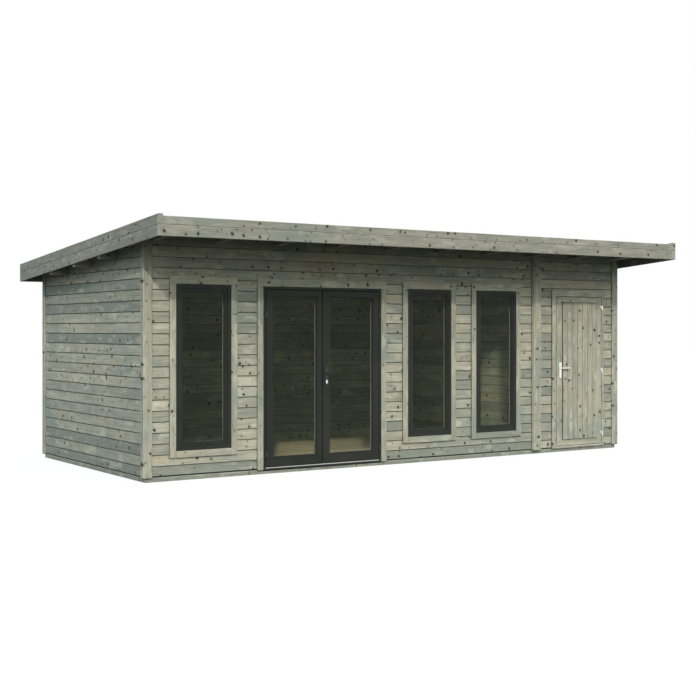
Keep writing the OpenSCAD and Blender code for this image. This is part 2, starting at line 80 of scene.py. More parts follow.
def lay_board(piece, low, high, along, ease=0.003, cuts=(), tone=None, dirt=-0.3, ledge=None,
              side_shade=0.0):
    """Adds a planed board: a block between two corners, cut by planes, with eased edges."""
    size = Vector(high) - Vector(low)
    block = bmesh.new()
    add_block(block, low, high)
    for point, outward in cuts:
        cut = bmesh.ops.bisect_plane(block, geom=block.verts[:] + block.edges[:] + block.faces[:],
                                     plane_co=point, plane_no=outward, clear_outer=True)
        rim = [part for part in cut["geom_cut"] if isinstance(part, bmesh.types.BMEdge)]
        if rim:
            bmesh.ops.contextual_create(block, geom=rim)
    across, thick = sorted((i for i in range(3) if i != along), key=lambda i: -size[i])
    edge = block.faces.layers.float.new("edge")
    block.normal_update()
    # Side faces above 0 are painted darker, as painted shade beside a proud board, and below 0
    # paler, as painted light on a lit side
    for face in block.faces:
        if abs(face.normal[across]) > 0.9:
            face[edge] = side_shade
    eased = ease_edges(block, block.edges, ease, 1, clamp=True)
    # Eased edges are painted darker, as dirt and painted shade in the joints, most of all on ledges
    # that face up; below 0 they are painted paler, as wear and a painted highlight on the arris
    block.normal_update()
    for face in eased:
        face[edge] = ledge if ledge is not None and face.normal.z > 0.5 else dirt
    # Each board is cut from its own stretch of timber, so its grain starts at its own place
    start = Vector((dice.uniform(0, 60), dice.uniform(0, 60), dice.uniform(0, 60)))
    grain = block.verts.layers.float_vector.new("grain")
    shade = block.verts.layers.float.new("tone")
    tone = dice.random() if tone is None else tone
    for vert in block.verts:
        vert[grain] = Vector((vert.co[along], vert.co[across], vert.co[thick])) + start
        vert[shade] = tone
    add_to(piece, block)


def show(piece, name, finish, body, slot, *nodes):
    """Turns a finished bmesh into an object that rides on its body and stands for CAD nodes."""
    mesh = bpy.data.meshes.new(name)
    piece.to_mesh(mesh)
    piece.free()
    mesh.materials.append(finish)
    shown = bpy.data.objects.new(name, mesh)
    bpy.context.scene.collection.objects.link(shown)
    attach(shown, body)
    if nodes:
        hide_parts(*nodes)


def feed(node, sockets):
    """Sets or links the inputs of a shader node."""
    for key, value in sockets.items():
        if isinstance(value, bpy.types.NodeSocket):
            node.id_data.links.new(value, node.inputs[key])
        else:
            node.inputs[key].default_value = value


def put(tree, kind, sockets=None, **settings):
    """Adds a shader node with its settings, feeds its inputs, and gives its outputs."""
    made = tree.nodes.new("ShaderNode" + kind)
    for key, value in settings.items():
        setattr(made, key, value)
    feed(made, sockets or {})
    return made.outputs


def blend_colour(tree, share, first, second, way="MIX"):
    return put(tree, "Mix", {0: share, 6: first, 7: second}, data_type="RGBA", blend_type=way)[2]


def sums(tree, way, first, second=0.0, third=0.0):
    return put(tree, "Math", {0: first, 1: second, 2: third}, operation=way)[0]


def vectors(tree, way, first, second):
    return put(tree, "VectorMath", {0: first, 1: second}, operation=way)[0]


def spread(tree, value, low, high, to_low=0.0, to_high=1.0):
    return put(tree, "MapRange", {0: value, 1: low, 2: high, 3: to_low, 4: to_high},
               interpolation_type="SMOOTHSTEP")[0]


def bump(tree, strength, distance, height):
    return put(tree, "Bump", {"Strength": strength, "Distance": distance, "Height": height})[0]


def plain_finish(name, colour, roughness, metallic=0.0):
    """A material with its Principled shader, whose constant values are set on its sockets."""
    finish = bpy.data.materials.new(name)
    finish.use_nodes = True
    shader = finish.node_tree.nodes["Principled BSDF"]
    feed(shader, {"Base Color": (*colour, 1), "Roughness": roughness, "Metallic": metallic})
    return finish, finish.node_tree, shader


# Sawn spruce: long grain that flows round dark knots, with paler and darker streaks
timber_grain = g = bpy.data.node_groups.new("timber grain", "ShaderNodeTree")
for way, kind, names in (
        ("INPUT", "Vector", ("Grain", "Place")), ("INPUT", "Float", ("Tone", "Edge")),
        ("INPUT", "Color", ("Pale", "Deep", "Green", "Brown", "Knot")),
        ("OUTPUT", "Color", ("Colour",)), ("OUTPUT", "Float", ("Height", "Roughness"))):
    for name in names:
        g.interface.new_socket(name, in_out=way, socket_type="NodeSocket" + kind)
inlet = g.nodes.new("NodeGroupInput").outputs


def knots(tree, run, spacing, limit, small, large):
    """Knots along a board: how far each point is past the nearest one, and whether it is there."""
    flat = vectors(tree, "MULTIPLY", run, (1 / spacing[0], 1 / spacing[1], 0.0))
    cell = put(tree, "TexVoronoi", {"Vector": flat, "Scale": 1.0, "Randomness": 0.95},
               voronoi_dimensions="2D")
    away = vectors(tree, "SUBTRACT", flat, cell["Position"])
    away = vectors(tree, "MULTIPLY", away, (*spacing, 0.0))
    luck = put(tree, "SeparateColor", {0: cell["Color"]})
    # A knot stretches and leans a little across the board, each in its own way
    side = put(tree, "SeparateXYZ", {0: away})
    lean = spread(tree, luck["Blue"], 0.0, 1.0, -0.25, 0.25)
    more_luck = sums(tree, "FRACT", sums(tree, "MULTIPLY", luck["Blue"], 7.0))
    stretch = spread(tree, more_luck, 0.0, 1.0, 0.72, 1.15)
    along = sums(tree, "MULTIPLY_ADD", side["Y"], lean, side["X"])
    away = put(tree, "CombineXYZ", {0: along, 1: sums(tree, "MULTIPLY", side["Y"], stretch)})[0]
    reach = put(tree, "VectorMath", {0: away}, operation="LENGTH")["Value"]
    there = sums(tree, "GREATER_THAN", luck["Red"], limit)
    radius = spread(tree, sums(tree, "POWER", luck["Green"], 1.5), 0.0, 1.0, small, large)
    return sums(tree, "SUBTRACT", reach, radius), there


def stretched(tree, kind, where, scale, **sockets):
    """A texture drawn out by a scale of its own along each way of a vector."""
    way = vectors(tree, "MULTIPLY", where, scale)
    return put(tree, kind, {"Vector": way, "Scale": 1.0, **sockets})["Fac"]


run, tone = inlet["Grain"], inlet["Tone"]
ripple = stretched(g, "TexNoise", run, (150.0, 150.0, 0.0), Detail=2.0)
ripple = sums(g, "MULTIPLY_ADD", ripple, 0.005, -0.0025)
# Some boards come from knotty timber and others from clear, in turns as the tone rises
tone_turns = 17
clear = sums(g, "FRACT", sums(g, "MULTIPLY", tone, tone_turns))
grove = stretched(g, "TexNoise", run, (1.3, 3.0, 3.0), Detail=1.0)
limit = sums(g, "ADD", spread(g, clear, 0.1, 0.9, 0.22, 0.80),
             spread(g, grove, 0.38, 0.62, 0.34, -0.26))
past, there = knots(g, run, (0.17, 0.085), limit, 0.0040, 0.0150)
past = sums(g, "ADD", past, ripple)
knot = sums(g, "MULTIPLY", spread(g, past, 0.0014, -0.0014), there)
rim = sums(g, "MULTIPLY", spread(g, sums(g, "ABSOLUTE", past), 0.0024, 0.0004), there)
halo = sums(g, "MULTIPLY", spread(g, past, 0.024, 0.0), there)
pin_limit = spread(g, grove, 0.38, 0.62, 0.93, 0.52)
pin_past, pin_there = knots(g, run, (0.10, 0.055), pin_limit, 0.0018, 0.0050)
pin = sums(g, "MULTIPLY", spread(g, sums(g, "ADD", pin_past, ripple), 0.0018, -0.0010), pin_there)
# Growth lines run along the board and round the knots
wander = stretched(g, "TexNoise", run, (0.7, 7.0, 7.0), Detail=2.0)
across = put(g, "SeparateXYZ", {0: run})
turn = sums(g, "MULTIPLY_ADD", across["Y"], 640.0, sums(g, "MULTIPLY", wander, 70.0))
turn = sums(g, "MULTIPLY_ADD", across["Z"], 240.0, turn)
turn = sums(g, "MULTIPLY_ADD", halo, 14.0, turn)
rings = sums(g, "POWER", spread(g, sums(g, "SINE", turn), -1.0, 1.0), 2.5)
fibre = stretched(g, "TexNoise", run, (5.0, 380.0, 180.0), Detail=3.0, Roughness=0.6)
streak = stretched(g, "TexNoise", run, (1.6, 24.0, 24.0), Detail=3.0)
mottle = stretched(g, "TexNoise", run, (8.0, 75.0, 75.0), Detail=3.0, Roughness=0.65)
cloud = stretched(g, "TexNoise", run, (3.4, 6.0, 6.0), Detail=4.0, Roughness=0.6)
bloom = stretched(g, "TexNoise", run, (5.0, 11.0, 11.0), Detail=3.0)
damp = stretched(g, "TexNoise", inlet["Place"], (0.9, 0.9, 1.5), Detail=3.0)
crack = stretched(g, "TexNoise", run, (2.2, 130.0, 130.0), Detail=1.0)
crack = spread(g, crack, 0.70, 0.75)
depth = sums(g, "MULTIPLY", spread(g, streak, 0.3, 0.72), 0.28)
for share, weight in ((rings, 0.34), (spread(g, mottle, 0.25, 0.75), 0.36), (halo, 0.25),
                      (fibre, 0.26)):
    depth = sums(g, "MULTIPLY_ADD", share, weight, depth)
body = blend_colour(g, sums(g, "MINIMUM", depth, 1.0), inlet["Pale"], inlet["Deep"])
# Weather leaves cool grey clouds on the boards, and the darkest ones are grey all over
cool = sums(g, "MULTIPLY", spread(g, cloud, 0.42, 0.68), spread(g, tone, 0.0, 0.8, 0.65, 0.18))
cool = sums(g, "MAXIMUM", cool, sums(g, "MULTIPLY", spread(g, damp, 0.46, 0.68), 0.6))
all_grey = sums(g, "MULTIPLY", spread(g, tone, 0.32, 0.14, 0.0, 0.58),
                spread(g, cloud, 0.25, 0.5, 0.5, 1.0))
body = blend_colour(g, sums(g, "MAXIMUM", cool, all_grey), body, inlet["Green"])
pale_spots = sums(g, "MULTIPLY", spread(g, bloom, 0.52, 0.72), 0.55)
body = blend_colour(g, pale_spots, body, inlet["Pale"])
# Here and there they are still brown, most of all round the knots
warm = stretched(g, "TexNoise", run, (1.3, 9.0, 9.0), Detail=3.0, Roughness=0.6)
warm = sums(g, "MULTIPLY", spread(g, warm, 0.48, 0.68), spread(g, tone, 0.1, 0.9, 0.10, 0.6))
warm = sums(g, "MAXIMUM", warm, sums(g, "MULTIPLY", halo, 0.28))
body = blend_colour(g, warm, body, inlet["Brown"])
light_by = spread(g, tone, 0.0, 1.0, 0.86, 1.13)
lift = put(g, "CombineColor", {0: light_by, 1: light_by, 2: light_by})[0]
body = blend_colour(g, 1.0, body, lift, "MULTIPLY")
heart = spread(g, sums(g, "SINE", sums(g, "MULTIPLY", past, 2600.0)), -1.0, 1.0, 0.0, 0.12)
heart = blend_colour(g, heart, inlet["Knot"], inlet["Brown"])
body = blend_colour(g, sums(g, "MULTIPLY", knot, 0.95), body, heart)
# Rims of knots and cracks are dark, and so are edges and sides marked above 0, as dirt and painted
# shade; those marked below 0 take a paler copy of the pale colour, as wear and a painted highlight
dark = sums(g, "MAXIMUM", sums(g, "MULTIPLY", rim, 0.85), sums(g, "MULTIPLY", pin, 0.85))
dark = sums(g, "MAXIMUM", dark, sums(g, "MULTIPLY", crack, 0.45))
dark = sums(g, "MAXIMUM", dark, sums(g, "MAXIMUM", inlet["Edge"], 0.0))
body = blend_colour(g, dark, body, inlet["Knot"])
worn = put(g, "VectorMath", {0: inlet["Pale"], "Scale": 1.35}, operation="SCALE")[0]
worn_and_lit_edge = sums(g, "MAXIMUM", sums(g, "MULTIPLY", inlet["Edge"], -1.0), 0.0)
ridge = sums(g, "MULTIPLY_ADD", rings, 0.5, sums(g, "MULTIPLY", fibre, 0.6))
ridge = sums(g, "MULTIPLY_ADD", crack, -1.2, ridge)
feed(g.nodes.new("NodeGroupOutput"), {
    "Colour": blend_colour(g, worn_and_lit_edge, body, worn),
    "Height": sums(g, "MULTIPLY_ADD", rim, -0.6, ridge),
    "Roughness": spread(g, fibre, 0.2, 0.8, 0.72, 0.9)})


def timber_finish(name, pale, deep, green, brown, knot_colour):
    """One kind of timber: the shared grain in that timber's own colours."""
    finish, tree, shader = plain_finish(name, pale, 0.8)
    sockets = {key: (*colour, 1) for key, colour in (
        ("Pale", pale), ("Deep", deep), ("Green", green), ("Brown", brown), ("Knot", knot_colour))}
    for key, kind in (("Grain", "Vector"), ("Tone", "Fac"), ("Edge", "Fac")):
        sockets[key] = put(tree, "Attribute", attribute_name=key.lower())[kind]
    sockets["Place"] = put(tree, "TexCoord")["Object"]
    wood = put(tree, "Group", sockets, node_tree=timber_grain)
    feed(shader, {"Base Color": wood["Colour"], "Roughness": wood["Roughness"],
                  "Normal": bump(tree, 0.25, 0.002, wood["Height"]), "Specular IOR Level": 0.25})
    return finish


weathered = timber_finish("weathered timber", (0.52, 0.505, 0.425), (0.205, 0.198, 0.158),
                          (0.185, 0.226, 0.212), (0.40, 0.325, 0.235), (0.013, 0.014, 0.012))

beam_w, beam_h, beam_tone = 0.070, 0.045, 0.1
low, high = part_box("long_sills")
beams = bmesh.new()
lay_board(beams, low, (high.x, low.y + beam_w, high.z), 0, tone=beam_tone)
lay_board(beams, (low.x, high.y - beam_w, low.z), high, 0, tone=beam_tone)
show(beams, "ground_beams", weathered, "house", "weathered_timber", "long_sills")

low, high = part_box("cross_sills")
joist_w, joist_count = 0.045, 9
joists = bmesh.new()
for x in (low.x, high.x - beam_w):
    lay_board(joists, (x, low.y, 0), (x + beam_w, high.y, beam_h), 1, tone=beam_tone)
joist_step = (high.x - low.x - 2 * beam_w) / (joist_count + 1)
for i in range(1, joist_count + 1):
    x = low.x + beam_w + i * joist_step
    lay_board(joists, (x - joist_w / 2, low.y, 0), (x + joist_w / 2, high.y, beam_h), 1)
show(joists, "floor_joists", weathered, "house", "weathered_timber", "cross_sills")

# Floors
# Tongued floor boards run along the house over the joists, one floor to a room, and
# are cut out round the corner posts. They are newer and warmer than the walls.

floor_wood = timber_finish("floor timber", (0.66, 0.56, 0.42), (0.40, 0.32, 0.22),
                           (0.52, 0.46, 0.36), (0.44, 0.33, 0.21), (0.07, 0.045, 0.03))


def half(x):
    """A place along the front, from the left end of the posts, on the frame's X."""
    wall_w = 6.630
    return x - wall_w / 2


floor_board, board_gap, post_w = 0.114, 0.0004, 0.095
beside_post = half(post_w)
for name, node in (("main_floor_boards", "main_floor"), ("store_floor_boards", "store_floor")):
    low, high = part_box(node)
    boards = bmesh.new()
    rows = round((high.y - low.y) / floor_board)
    step = (high.y - low.y) / rows
    for row in range(rows):
        y0, y1 = low.y + row * step, low.y + (row + 1) * step
        # The first and last boards stop beside the corner posts
        end_row = row in (0, rows - 1)
        left = beside_post if end_row and node == "main_floor" else low.x
        right = -beside_post if end_row and node == "store_floor" else high.x
        lay_board(boards, (left, y0 + board_gap, low.z), (right, y1 - board_gap, high.z), 0,
                  ease=0.0025, dirt=0.6)
    show(boards, name, floor_wood, "house", "floor_timber", node)

# Corner posts
# A square-cut post stands at each corner on the beams and takes the ends of the wall
# boards in its grooves. Its foot is level and its head is cut to the slope of the roof.

pitch = math.radians(4.3)
roof_edge_y, roof_edge_z = (corner[i] for corner, i in zip(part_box("upper_fascia"), (1, 2)))
roof_up = Vector((0, math.sin(pitch), math.cos(pitch)))


def under_roof(drop):
    """A plane parallel to the roof, that far below its surface, for cutting boards."""
    return (Vector((0, roof_edge_y, roof_edge_z - drop)), roof_up)


deck_drop = 0.0221
post_side, spare_end = 0.074, 0.02
low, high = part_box("corner_posts")
posts = bmesh.new()
for x in (low.x, high.x - post_w):
    for y in (low.y, high.y - post_side):
        # Posts are cut from knotty timber: their tone is just past the start of a turn
        turn = round(dice.uniform(0.3, 0.55) * tone_turns)
        lay_board(posts, (x, y, low.z), (x + post_w, y + post_side, high.z + spare_end), 2,
                  ease=0.004, cuts=[under_roof(deck_drop)], tone=turn / tone_turns + 0.005)
show(posts, "corner_post_timbers", weathered, "house", "weathered_timber", "corner_posts")

# Plank walls
# Wall boards 44 mm thick are stacked tongue in groove, each covering 111 mm, with their
# edges chamfered to a V on both faces. The top ones are cut to the slope of the roof.

cover, chamfer, joint_gap, drip_gap = 0.111, 0.0038, 0.0015, 0.014
tongue_h, tongue_in, thin_ease = 0.006, 0.014, 0.0005
touch, lowest, shortest = 0.001, 0.002, 0.01


def stack_wall(piece, low, high, along, holes=()):
    """Stacks boards up a wall, round its holes: (first, last, bottom, top) along the wall."""
    slope = [under_roof(deck_drop)]
    row = 0
    while low.z + row * cover < high.z - lowest:
        z0 = low.z + row * cover
        z1 = min(z0 + cover, high.z)
        row += 1
        stretches = [(low[along], high[along], z0, z1)]
        for first, last, bottom, top in holes:
            if z1 <= bottom + touch or z0 >= top - touch:
                continue
            split = []
            for a, b, c, d in stretches:
                if b <= first + touch or a >= last - touch:
                    split.append((a, b, c, d))
                    continue
                split += [(a, first, c, d), (last, b, c, d)]
                if z0 < bottom - tongue_h:
                    split.append((first, last, z0, bottom))
                if z1 > top + tongue_h:
                    split.append((first, last, top, z1))
            stretches = [s for s in split if s[1] - s[0] > shortest]
        for a, b, c, d in stretches:
            corner, far = Vector(low), Vector(high)
            corner[along], far[along] = a, b
            corner.z, far.z = c + (drip_gap if c == low.z else joint_gap), d - joint_gap
            # Their chamfers are painted a little dark, and those facing up much darker, as dirt and
            # painted shade in the V joints
            lay_board(piece, corner, far, along, ease=chamfer, cuts=slope, dirt=0.25, ledge=0.85)
            # The tongue in the joint above closes it behind the gap, and takes the darkest tone as
            # painted shade deep in the gap
            corner[1 - along] += tongue_in
            far[1 - along] -= tongue_in
            corner.z, far.z = d - tongue_h, min(d + tongue_h, high.z)
            if far.z - corner.z > tongue_h + touch:
                lay_board(piece, corner, far, along, ease=thin_ease, cuts=slope, tone=0.0)
            # A black strip fills the gap under the lowest board, as painted shade
            if c == low.z:
                corner.z, far.z = low.z, low.z + drip_gap
                lay_board(shade_strips, corner, far, along, ease=thin_ease)


shade_strips = bmesh.new()
window_lefts = (half(0.357), half(3.262), half(4.268))
window_w = 0.630
window_low, window_high = (corner.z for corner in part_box("window_frames"))
holes = [(x, x + window_w, window_low, window_high) for x in window_lefts]
door_low, door_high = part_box("double_door_frame")
store_low, store_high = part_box("store_door_lining")
holes.append((door_low.x, door_high.x, 0.0, door_high.z))
store_hole = [(store_low.x, store_high.x, 0.0, store_high.z)]
for name, along, nodes, gaps in (
        ("left_wall", 1, ["left_wall"], []),
        ("right_wall", 1, ["right_wall"], []),
        ("back_wall", 0, ["back_wall"], []),
        ("partition", 1, ["partition_wall"], []),
        ("front_wall", 0, ["front_wall_left", "front_wall_right", "front_wall_over_door"], holes),
        ("store_front", 0, ["store_wall_left", "store_wall_right", "store_wall_over_door"],
         store_hole)):
    boxes = [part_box(node) for node in nodes]
    low = Vector(min(box[0][i] for box in boxes) for i in range(3))
    high = Vector(max(box[1][i] for box in boxes) for i in range(3))
    courses = bmesh.new()
    stack_wall(courses, low, high, along, gaps)
    show(courses, name + "_boards", weathered, "house", "weathered_timber", *nodes)


def noise(tree, scale, detail=2.0):
    """Even noise through a solid, by its own coordinates."""
    place = put(tree, "TexCoord")["Object"]
    return put(tree, "TexNoise", {"Vector": place, "Scale": scale, "Detail": detail})["Fac"]


rubber, tree, shader = plain_finish("black rubber", (0.012, 0.012, 0.012), 0.7)
feed(shader, {"Roughness": spread(tree, noise(tree, 800.0), 0.3, 0.7, 0.6, 0.8)})
# In front of the double door the black strip hangs over the beam, as painted shade below the
# threshold
beam_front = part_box("long_sills")[0].y
strip_t, strip_low = 0.002, 0.030
lay_board(shade_strips, (door_low.x, beam_front - strip_t, strip_low),
          (door_high.x, beam_front, beam_h), 0, ease=thin_ease)
show(shade_strips, "shade_strips", rubber, "house", "dark_fittings")

# Joint posts
# A thick upright covers the joint of the wall boards where the partition meets the front
# wall, and another the back wall. It is screwed on and cut to the slope at its head, with
# a thin black strip on each side along the wall as painted shade in the crevice.

zinc, tree, shader = plain_finish("dull zinc", (0.16, 0.16, 0.15), 0.5, 1.0)
tarnish = spread(tree, noise(tree, 300.0), 0.3, 0.7)
feed(shader, {"Base Color": blend_colour(tree, tarnish, (0.10, 0.10, 0.095, 1),
                                         (0.24, 0.24, 0.23, 1))})


def drive_screw(piece, place, out, radius=0.0042):
    """A countersunk screw head, almost flush, with a socket sunk in its middle."""
    proud, socket = 0.0003, 0.0014
    turn = Vector((0, 0, 1)).rotation_difference(Vector(out)).to_matrix().to_4x4()
    place = Matrix.Translation(Vector(place) + Vector(out) * proud)
    head = bmesh.ops.create_circle(piece, cap_ends=True, segments=12, radius=radius,
                                   matrix=place @ turn)
    face = head["verts"][0].link_faces[0]
    bmesh.ops.inset_region(piece, faces=[face], thickness=radius * 0.45)
    bmesh.ops.inset_region(piece, faces=[face], thickness=radius * 0.08, depth=-socket)


low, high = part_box("joint_posts")
proud, bead = 0.048, 0.004
top = high.z + spare_end
slope = [under_roof(deck_drop)]
uprights, crevice_shades = bmesh.new(), bmesh.new()
for y, at_wall in ((low.y, low.y + proud - bead), (high.y - proud, high.y - proud)):
    # The upright's side faces are painted paler, as painted light
    lay_board(uprights, (low.x, y, low.z), (high.x, y + proud, top), 2, ease=0.004, cuts=slope,
              tone=0.59, side_shade=-0.45)
    # A thin black strip in each corner beside the upright is painted shade in the crevice
    for x in (low.x - bead, high.x):
        lay_board(crevice_shades, (x, at_wall, low.z), (x + bead, at_wall + bead, top), 2, ease=0.001,
                  cuts=slope)
show(uprights, "joint_post_timbers", weathered, "house", "weathered_timber", "joint_posts")
show(crevice_shades, "joint_post_crevice_shades", rubber, "house", "dark_fittings")
screws = bmesh.new()
screw_in, screw_foot, screw_step = 0.025, 0.12, 0.40
for y, out in ((low.y, -1), (high.y, 1)):
    for i in range(6):
        for x in (low.x + screw_in, high.x - screw_in):
            drive_screw(screws, (x, y, low.z + screw_foot + i * screw_step), (0, out, 0))
show(screws, "joint_post_screws", zinc, "house", "dark_fittings")

# Window frames and sashes
# Each tall window is fixed: a coated anthracite frame fills the hole in the wall and holds
# a sash a little behind it, whose inner edge slopes down to the pane.

anthracite, tree, shader = plain_finish("anthracite coating", (0.022, 0.024, 0.020), 0.45)
mottle = noise(tree, 260.0)
dust = spread(tree, noise(tree, 3.0, 4.0), 0.3, 0.8)
feed(shader, {
    "Base Color": blend_colour(tree, dust, (0.016, 0.018, 0.015, 1), (0.023, 0.025, 0.020, 1)),
    "Roughness": spread(tree, mottle, 0.2, 0.8, 0.36, 0.5),
    "Specular IOR Level": 0.2, "Normal": bump(tree, 0.06, 0.0005, mottle)})


def ring_frame(piece, low, high, inner_low, inner_high, bead, bead_drop, ease=0.0025):
    """Adds a closed frame round a hole: flat faces whose inner edges slope down by a bead."""
    middle = (Vector(low) + Vector(high)) / 2
    block = bmesh.new()
    add_block(block, low, high)
    ease_edges(block, block.edges, ease, 2)
    ends = []
    for side in (-1, 1):
        face = max((f for f in block.faces if f.normal.y * side > 0.99),
                   key=lambda f: f.calc_area())
        bmesh.ops.inset_region(block, faces=[face], thickness=0.01, use_even_offset=True)
        for vert in face.verts:
            vert.co.x = inner_low[0] - bead if vert.co.x < middle.x else inner_high[0] + bead
            vert.co.z = inner_low[1] - bead if vert.co.z < middle.z else inner_high[1] + bead
        for width, drop in ((0.25, 0.7), (0.75, 0.3)):
            bmesh.ops.inset_region(block, faces=[face], thickness=bead * width,
                                   depth=-bead_drop * drop)
        ends.append(face)
    rims = [edge for face in ends for edge in face.edges]
    bmesh.ops.delete(block, geom=ends, context="FACES_ONLY")
    bmesh.ops.bridge_loops(block, edges=rims)
    bmesh.ops.recalc_face_normals(block, faces=block.faces[:])
    add_to(piece, block)


frame_front, frame_back = (corner.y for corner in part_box("window_frames"))
frame_w, sash_w, sash_gap, sash_front = 0.045, 0.035, 0.0005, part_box("window_sashes")[0].y
rim = frame_w + sash_w
jambs, sashes = bmesh.new(), bmesh.new()
for x in window_lefts:
    end = x + window_w
    ring_frame(jambs, (x, frame_front, window_low), (end, frame_back, window_high),
               (x + frame_w, window_low + frame_w), (end - frame_w, window_high - frame_w),
               bead=0.002, bead_drop=0.002)
    inset = frame_w + sash_gap
    ring_frame(sashes, (x + inset, sash_front, window_low + inset),
               (end - inset, frame_back, window_high - inset),
               (x + rim, window_low + rim), (end - rim, window_high - rim),
               bead=0.012, bead_drop=0.009)
show(jambs, "window_frame_rings", anthracite, "house", "anthracite_frame", "window_frames")
show(sashes, "window_sash_rings", anthracite, "house", "anthracite_frame", "window_sashes")

# Double glazing
# Each unit is two sheets of 4 mm float glass, kept apart by a dull aluminium spacer
# bar round the edge, and bedded in the sash.

glass, tree, shader = plain_finish("clear glass", (0.80, 0.84, 0.82), 0.0)
film = spread(tree, noise(tree, 2.2, 5.0), 0.35, 0.75)
tint = blend_colour(tree, film, (0.88, 0.91, 0.86, 1), (0.83, 0.86, 0.81, 1))
# Daylight passes the panes, so the lamp reaches the floor behind them, but the sky lights it less
ray = put(tree, "LightPath")
indoors = sums(tree, "GREATER_THAN", ray["Diffuse Depth"], 0.5)
feed(shader, {"Base Color": blend_colour(tree, indoors, tint, (0.52, 0.55, 0.53, 1)),
              "Transmission Weight": 1.0, "IOR": 1.155, "Specular Tint": (0.80, 1.0, 0.80, 1)})
clear = put(tree, "BsdfTransparent", {"Color": (0.97, 0.98, 0.97, 1)})[0]
both = put(tree, "MixShader", {0: ray["Is Shadow Ray"], 1: shader.outputs[0], 2: clear})[0]
feed(tree.nodes["Material Output"], {"Surface": both})
spacer_metal, tree, shader = plain_finish("spacer aluminium", (0.26, 0.265, 0.26), 0.5)
feed(shader, {"Roughness": spread(tree, noise(tree, 400.0), 0.3, 0.7, 0.3, 0.45)})

sheet_t, spacer_w, seal_w, seal_t = 0.004, 0.0065, 0.006, 0.0015


def glaze(panes, bars, seals, low, high):
    """Adds one glazing unit between two corners: two sheets, the spacer and the rubber seals."""
    for y0, y1 in ((low.y - seal_t, low.y), (high.y, high.y + seal_t)):
        ring_frame(seals, (low.x, y0, low.z), (high.x, y1, high.z),
                   (low.x + seal_w, low.z + seal_w), (high.x - seal_w, high.z - seal_w),
                   bead=0.0008, bead_drop=0.0004, ease=0.0003)
    for y0, y1 in ((low.y, low.y + sheet_t), (high.y - sheet_t, high.y)):
        sheet = add_block(panes, (low.x, y0, low.z), (high.x, y1, high.z))
        ease_edges(panes, {edge for vert in sheet for edge in vert.link_edges}, 0.0006, 1)
    ring_frame(bars, (low.x, low.y + sheet_t, low.z), (high.x, high.y - sheet_t, high.z),
               (low.x + spacer_w, low.z + spacer_w), (high.x - spacer_w, high.z - spacer_w),
               bead=0.001, bead_drop=0.0005, ease=0.0005)


panes, bars, seals = bmesh.new(), bmesh.new(), bmesh.new()
pane_front, pane_back = (corner.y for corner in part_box("window_panes"))
for x in window_lefts:
    glaze(panes, bars, seals, Vector((x + rim, pane_front, window_low + rim)),
          Vector((x + window_w - rim, pane_back, window_high - rim)))
show(panes, "window_glass_sheets", glass, "house", "glazing", "window_panes")
show(bars, "window_spacer_bars", spacer_metal, "house", "threshold_metal")
show(seals, "window_seals", rubber, "house", "dark_fittings")

# Window trims
# Planed boards 20 mm thick cover the joint between frame and wall: two uprights and a
# sill board below, with a wider board across the head, screwed to the wall.

trim_w, trim_gap = 0.070, 0.001


def lay_trim(piece, low, high, along, side_shade=0.55):
    """A trim board of middling tone, with its sides painted dark as painted shade beside it."""
    lay_board(piece, low, high, along, tone=dice.uniform(0.3, 0.6), dirt=-0.1, side_shade=side_shade)


trims, screws = bmesh.new(), bmesh.new()
trim_front, trim_back = (corner.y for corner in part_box("window_trims"))
head_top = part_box("window_trims")[1].z
head_mid, sill_low = (window_high + head_top) / 2, window_low - trim_w
screw_foot, screw_step = 0.02, 0.41
for x in window_lefts:
    end = x + window_w
    for x0 in (x - trim_w, end):
        lay_trim(trims, (x0, trim_front, sill_low), (x0 + trim_w, trim_back, window_high), 2)
    lay_trim(trims, (x - trim_w, trim_front, window_high + trim_gap),
             (end + trim_w, trim_back, head_top), 0)
    lay_trim(trims, (x + trim_gap, trim_front, sill_low),
             (end - trim_gap, trim_back, window_low), 0)
    spots = [(x + window_w / 2, window_low - trim_w / 2), (x + window_w / 2, head_mid)]
    for side in (x - trim_w / 2, end + trim_w / 2):
        spots += [(side, window_low + screw_foot + i * screw_step) for i in range(5)]
        spots.append((side, head_mid))
    for spot_x, spot_z in spots:
        drive_screw(screws, (spot_x, trim_front, spot_z), (0, -1, 0))
show(trims, "window_trim_boards", weathered, "house", "weathered_timber", "window_trims")
show(screws, "window_trim_screws", zinc, "house", "dark_fittings")

# Double door frame, trim and thresholds
# The door frame is coated like the windows and has timber trim boards round it. A low
# grooved aluminium threshold lies in each doorway.


def line_doorway(name, node, width, finish, slot):
    """The two jambs of a doorway, and the head piece between them."""
    low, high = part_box(node)
    lining = bmesh.new()
    for x in (low.x, high.x - width):
        lay_board(lining, (x, low.y, low.z), (x + width, high.y, high.z), 2, ease=0.002)
    lay_board(lining, (low.x + width + trim_gap, low.y, high.z - width),
              (high.x - width - trim_gap, high.y, high.z), 0, ease=0.002)
    show(lining, name, finish, "house", slot, node)


def trim_doorway(name, node, left_w, right_w, head_h):
    """Two upright trim boards under a head board, round a doorway."""
    low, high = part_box(node)
    boards, screws = bmesh.new(), bmesh.new()
    under = high.z - head_h
    lay_trim(boards, low, (low.x + left_w, high.y, under - trim_gap), 2)
    lay_trim(boards, (high.x - right_w, low.y, low.z), (high.x, high.y, under - trim_gap), 2,
             side_shade=0.0)
    lay_trim(boards, (low.x, low.y, under), high, 0)
    show(boards, name + "_boards", weathered, "house", "weathered_timber", node)
    screw_foot, screw_step = 0.06, 0.36
    for x in (low.x + left_w / 2, high.x - right_w / 2):
        for z in [low.z + screw_foot + i * screw_step for i in range(6)] + [high.z - head_h / 2]:
            drive_screw(screws, (x, low.y, z), (0, -1, 0))
    show(screws, name + "_screws", zinc, "house", "dark_fittings")


